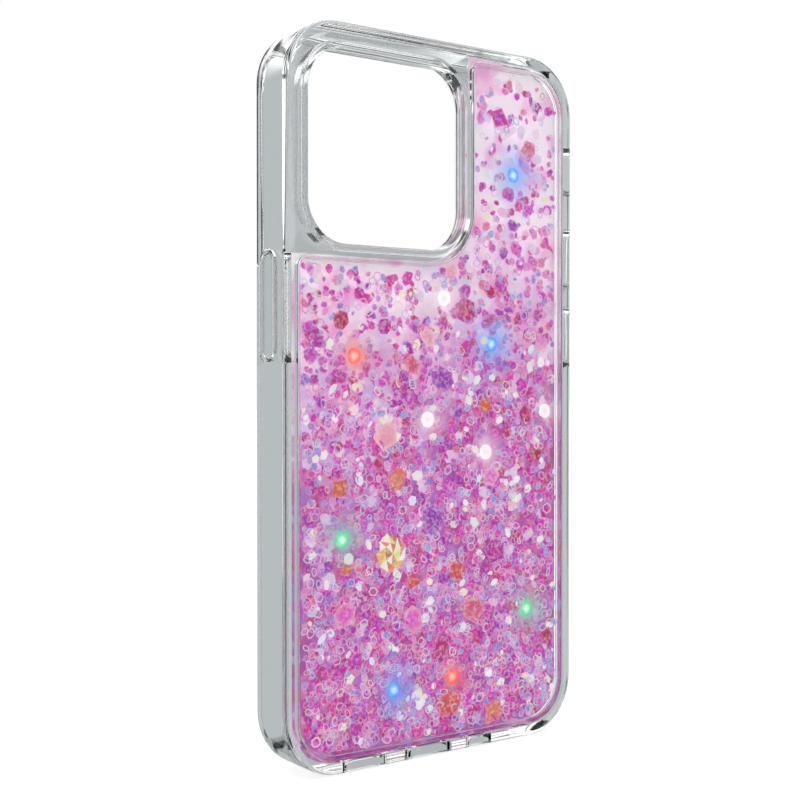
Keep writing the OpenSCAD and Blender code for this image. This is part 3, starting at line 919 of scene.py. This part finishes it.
def make_gem(pile, rng):
    """A thick amber flake: two rings of wedges that rise to a crown, each wedge in one colour from the list.
    Amber and yellow are the gem's own colours; the spread from brown to white paints light and shade on the
    facets, the white ones as painted highlights.
    """
    y = LIQUID_LO.y + (LIQUID_HI.y - LIQUID_LO.y) * 0.6
    at, turn = tumbled(Vector((GEM_AT[0], y, GEM_AT[1])), math.radians(20), 0.0, 0.0)
    outer = polygon_outline(GEM_R, GEM_SIDES, GEM_STRETCH, rng, 0.1)
    inner = [(u * rng.uniform(0.45, 0.6), v * rng.uniform(0.45, 0.6)) for u, v in outer]
    heights = [GEM_T * rng.uniform(0.5, 0.9) for point in inner]
    facets = []
    for i in range(GEM_SIDES):
        j = (i + 1) % GEM_SIDES
        low = GEM_T * 0.1
        facets.append([(*outer[i], low), (*outer[j], low), (*inner[i], heights[i])])
        facets.append([(*outer[j], low), (*inner[j], heights[j]), (*inner[i], heights[i])])
        facets.append([(*inner[i], heights[i]), (*inner[j], heights[j]), (0.0, 0.0, GEM_T)])
    for facet in facets:
        centre = sum((Vector(point) for point in facet), Vector()) / 3
        corners = [centre.lerp(Vector(point), GEM_FACET) for point in facet]
        top = [at + turn @ corner for corner in corners]
        base = [at + turn @ Vector((corner.x, corner.y, -GEM_T / 4)) for corner in corners]
        # Painted light and shade: each facet takes one random colour from the list, the white ones as
        # painted highlights.
        pile.skin([base, top], [linear(rng.choice(GEM_TONES_AND_HIGHLIGHTS))] * 2)


# ---- lights ----

LAMP_SIDES = 32
LAMP_SHADES = {
    "blue": ["#1c7fd8", "#2f9df5", "#5fc2ff", "#cdeaff"],
    "red": ["#e0452c", "#f2603f", "#ff7f62", "#ffc3b2"],
    "green": ["#2fc98a", "#43e096", "#6ff0ae", "#e2fff0"],
    "white": ["#f4e6e0", "#ffffff", "#fffaf8", "#ffe6da"],
}


def make_lights():
    """Each light is a flat dome with a bright middle inside a deeper ring."""
    surfaces = {kind: lamp_material("light_" + kind) for kind in LAMP_SHADES}
    for i, (centre, kind) in enumerate(LIGHTS, start=1):
        low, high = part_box(f"led_{i}")
        radius = (high.x - low.x) / 2
        depth = high.y - low.y
        axes = tumbled(Vector((centre.x, high.y, centre.z)), 0, 0, 0)
        circle = polygon_outline(radius, LAMP_SIDES, 1.0, random.Random(0))
        body, ring, middle, heart = [linear(code) for code in LAMP_SHADES[kind]]
        loops = [
            loop_at(axes, circle, 1.0, 0), loop_at(axes, circle, 1.0, depth * 0.7),
            loop_at(axes, circle, 0.86, depth * 0.9), loop_at(axes, circle, 0.6, depth),
            loop_at(axes, circle, 0.25, depth),
        ]
        pile = Pile()
        pile.skin(loops, [body, ring, ring, middle, heart])
        stand_for(pile.build(f"light_{i}", surfaces[kind], smooth=True), f"led_{i}")


def make_slab(name, outline, low, high, surface):
    """An outline in the X-Z plane given depth along Y."""
    pile = Pile()
    loops = [[Vector((p.x, y, p.y)) for p in outline] for y in (low, high)]
    pile.skin(loops, [(1.0, 1.0, 1.0, 1.0)] * 2)
    return pile.build(name, surface)


# ---- assembly ----

make_camera()
make_world()
make_floor()

scene = bpy.context.scene
scene.view_settings.view_transform = "Standard"
scene.cycles.max_bounces = 24
scene.cycles.transmission_bounces = 20
scene.cycles.transparent_max_bounces = 32
scene.cycles.glossy_bounces = 8

liner_lo, liner_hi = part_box("liner_shell")
recess_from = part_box("inner_panel")[0].y - EDGE_SLACK
recess_to = liner_lo.y + EDGE_SLACK
bumper_clear = clear_plastic("bumper_clear", "#fafcfc", 0.012)
ring_clear = clear_plastic("ring_clear", "#fcfdfd", 0.008)
window_clear = clear_plastic("window_clear", "#fdfdfe", 0.006, 0.008)
rounded_copy("bumper_frame", "bumper", bumper_clear, 0.25 * MM, recess_from, recess_to)
rounded_copy("camera_ring", "camera_ring_clear", ring_clear, 0.2 * MM)
rounded_copy("outer_window", "window", window_clear, 0.25 * MM)
liner_clear = thin_clear("liner_clear", "#fbfbfc", 0.12)
rounded_copy("liner_shell", "liner", liner_clear, 0.1 * MM, liner_lo.y - EDGE_SLACK, liner_hi.y - EDGE_SLACK)
cover_clear = clear_plastic("cover_clear", "#f8fafa", 0.015)
for cover in ("power_button_cover", "volume_up_cover", "volume_down_cover"):
    rounded_copy(cover, cover + "_clear", cover_clear, 0.22 * MM)

seal_clear = clear_plastic("seal_clear", "#fdf8fc", 0.01)
rounded_copy("chamber_wall", "chamber_seal", seal_clear, 0.05 * MM)
dress("light_sheet", bed_material("sheet_glitter"))
rounded_copy("inner_panel", "panel", thin_clear("panel_clear", "#fff4fa", 0.03), 0.05 * MM)
liquid_gap = 0.06 * MM
liquid_outline = window_outline(SEAL_W + liquid_gap)
liquid_front, liquid_back = LIQUID_LO.y + liquid_gap, LIQUID_HI.y - liquid_gap
liquid_tint = thin_clear("liquid_tint", "#ffe6f4", 0.04)
stand_for(make_slab("carrier_liquid", liquid_outline, liquid_front, liquid_back, liquid_tint), "liquid")
make_glitter(make_shards())
make_lights()
copper = copper_material()
dress("feed_tracks", copper)
dress("antenna_coil", copper)
dress("circuit_film", film_material())
chip_black = chip_material()
dress("flasher_chip", chip_black)
dress("rectifier_diode", chip_black)
dress("storage_capacitor", capacitor_material())
dress("fill_plug", rubber_material())
